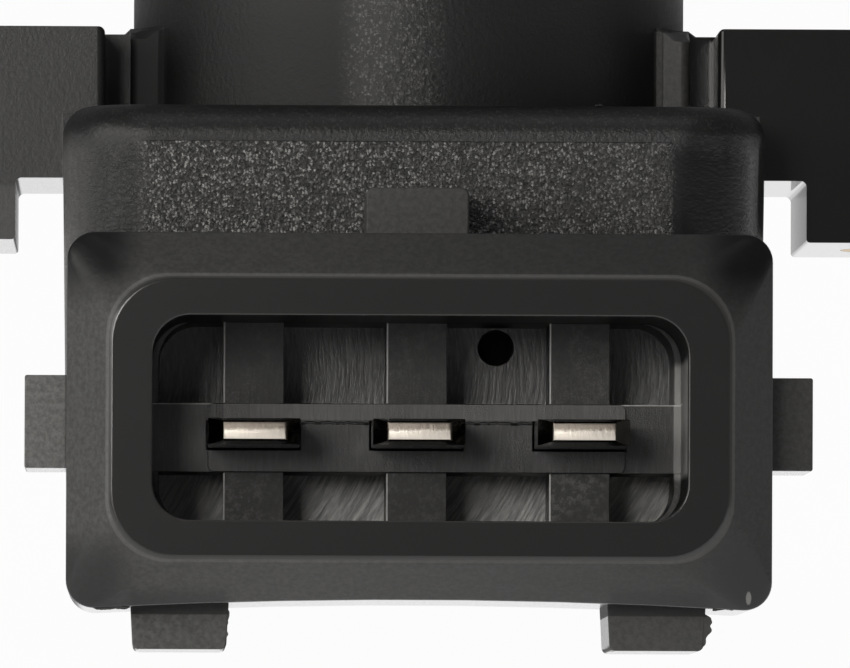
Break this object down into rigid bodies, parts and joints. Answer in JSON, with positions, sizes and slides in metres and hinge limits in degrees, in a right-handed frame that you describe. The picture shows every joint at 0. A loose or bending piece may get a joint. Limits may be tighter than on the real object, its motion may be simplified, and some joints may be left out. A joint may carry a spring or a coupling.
{
  "type": "manifold absolute pressure sensor",
  "caption": "Pressure sensor with a sealed spigot, two bushed fixing ears and a shrouded blade connector at right angles.",
  "frame": {"origin": "on the spigot's axis, in the seating plane of the two ears", "axes": "+Z along the spigot towards its tip, -Y out of the connector's mouth, +X through the right ear's bush"},
  "size_m": [0.048, 0.04, 0.0338],
  "materials": {
    "housing_plastic": "black glass-filled moulding, fine leather grain, coarse eroded front on the block",
    "cover_plastic": "black, fine grain",
    "cell_plastic": "dark brown, smooth",
    "chip_plastic": "black epoxy",
    "blade_tin": "tin-plated sheet, sheared tips",
    "solder": "bright solder",
    "lead_tin": "tinned",
    "bush_metal": "turned brass",
    "seal_rubber": "black, slightly glossy",
    "bead_silicone": "grey silicone",
    "gel_silicone": "clear soft gel",
    "board_laminate": "green solder mask",
    "pedestal_glass": "ground glass",
    "die_silicon": "polished silicon",
    "capacitor_ceramic": "ceramic",
    "resistor_film": "dark film on ceramic"
  },
  "bodies": {
    "root": {"housing": "housing_plastic", "terminal_1": "blade_tin", "terminal_2": "blade_tin", "terminal_3": "blade_tin", "solder_joints": "solder", "port_seal": "seal_rubber", "bush_left": "bush_metal", "bush_right": "bush_metal", "base_cover": "cover_plastic", "cover_bead": "bead_silicone", "circuit_board": "board_laminate", "cell_body": "cell_plastic", "cell_seal": "bead_silicone", "die_pedestal": "pedestal_glass", "sensor_die": "die_silicon", "cell_gel": "gel_silicone", "cell_leads": "lead_tin", "chip_leads": "lead_tin", "signal_chip": "chip_plastic", "capacitors": "capacitor_ceramic", "resistors": "resistor_film"}
  },
  "joints": []
}
